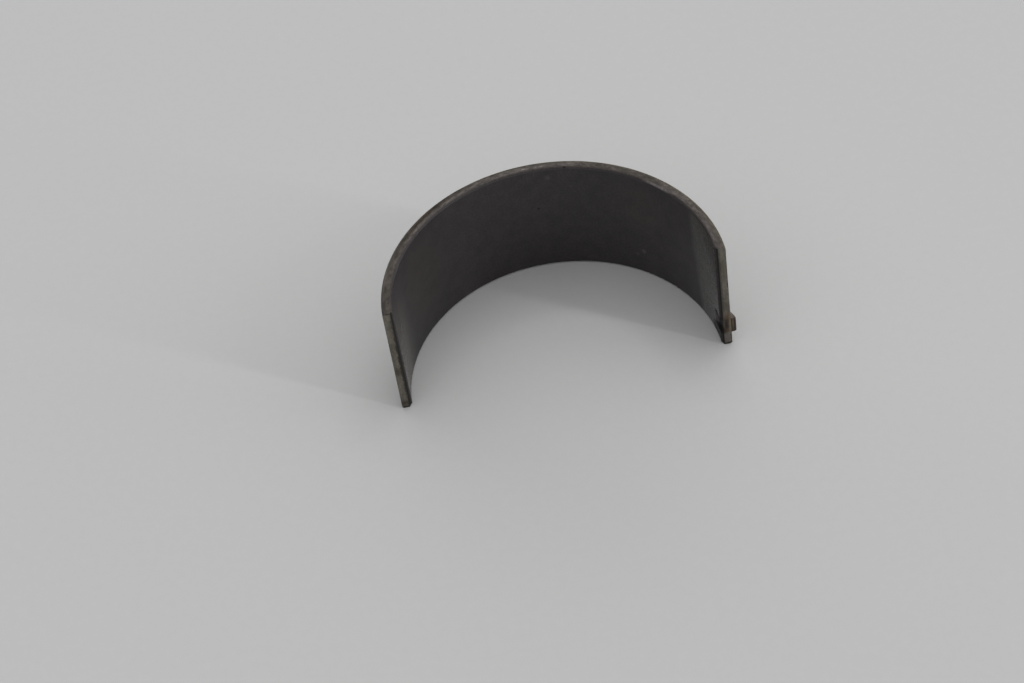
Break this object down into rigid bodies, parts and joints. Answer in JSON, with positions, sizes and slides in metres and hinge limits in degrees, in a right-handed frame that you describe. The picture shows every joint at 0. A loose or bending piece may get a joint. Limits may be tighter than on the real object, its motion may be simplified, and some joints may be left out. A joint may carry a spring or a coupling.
{
  "type": "engine bearing shell",
  "caption": "Plain half-round steel bearing shell with a dark lined bore, bevelled edges and a lanced locating lug at one end, seating a crankpin in a connecting rod.",
  "frame": {"origin": "on the bore axis, in the plane of the lower side face that the shell stands on", "axes": "+Z along the bore axis, up from the lower side face; +Y towards the crown of the half ring; the joint faces lie in the plane y = 0 and the lug is at the +X end"},
  "size_m": [0.0565, 0.0278, 0.0226],
  "materials": {
    "bearing_shell": "dull lined steel strip: dark mottled lining in the bore, brownish bare steel on the side and joint faces"
  },
  "bodies": {
    "root": {"bearing_shell": "bearing_shell"}
  },
  "joints": []
}
